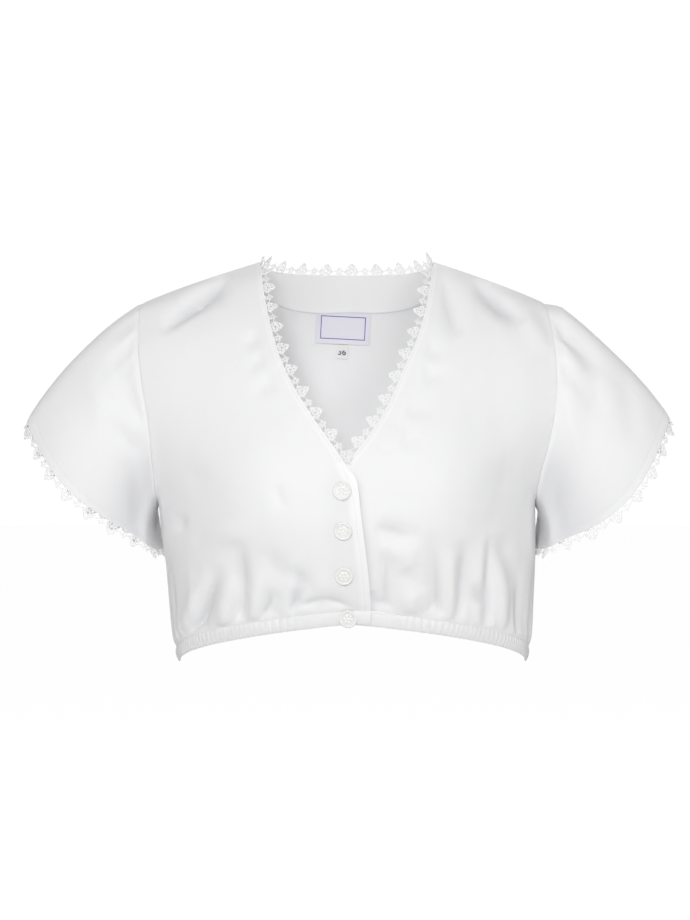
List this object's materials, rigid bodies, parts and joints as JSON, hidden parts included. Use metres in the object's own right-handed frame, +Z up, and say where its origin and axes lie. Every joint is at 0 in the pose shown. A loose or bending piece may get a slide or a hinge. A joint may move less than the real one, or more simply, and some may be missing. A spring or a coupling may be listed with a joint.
{
  "type": "dirndl blouse",
  "caption": "Cropped white blouse in its worn, hollow form: V neck edged with scalloped lace, lapped button front, flared short sleeves with lace cuffs and an elastic gathered hem.",
  "frame": {"origin": "midway between the shoulders, level with the outer ends of the shoulder seams, where the wearer carries the blouse", "axes": "+X to the wearer's left, +Y to the back, +Z up"},
  "size_m": [0.568, 0.2423, 0.3545],
  "materials": {
    "cotton": "smooth white woven cotton, slight sheen",
    "lace": "white corded lace",
    "button": "carved pearly white",
    "woven_label": "pale lilac woven satin with a plain violet border line",
    "size_tab": "white woven satin"
  },
  "bodies": {
    "root": {"front_right": "cotton", "front_left": "cotton", "back": "cotton", "sleeve_right": "cotton", "sleeve_left": "cotton", "hem_casing_front_right": "cotton", "hem_casing_front_left": "cotton", "hem_casing_back": "cotton", "back_neck_facing": "cotton", "lace_neck_right": "lace", "lace_neck_left": "lace", "lace_neck_back": "lace", "lace_cuff_right": "lace", "lace_cuff_left": "lace", "button_1": "button", "button_2": "button", "button_3": "button", "button_4": "button", "label": "woven_label", "size_tab": "size_tab"}
  },
  "joints": []
}
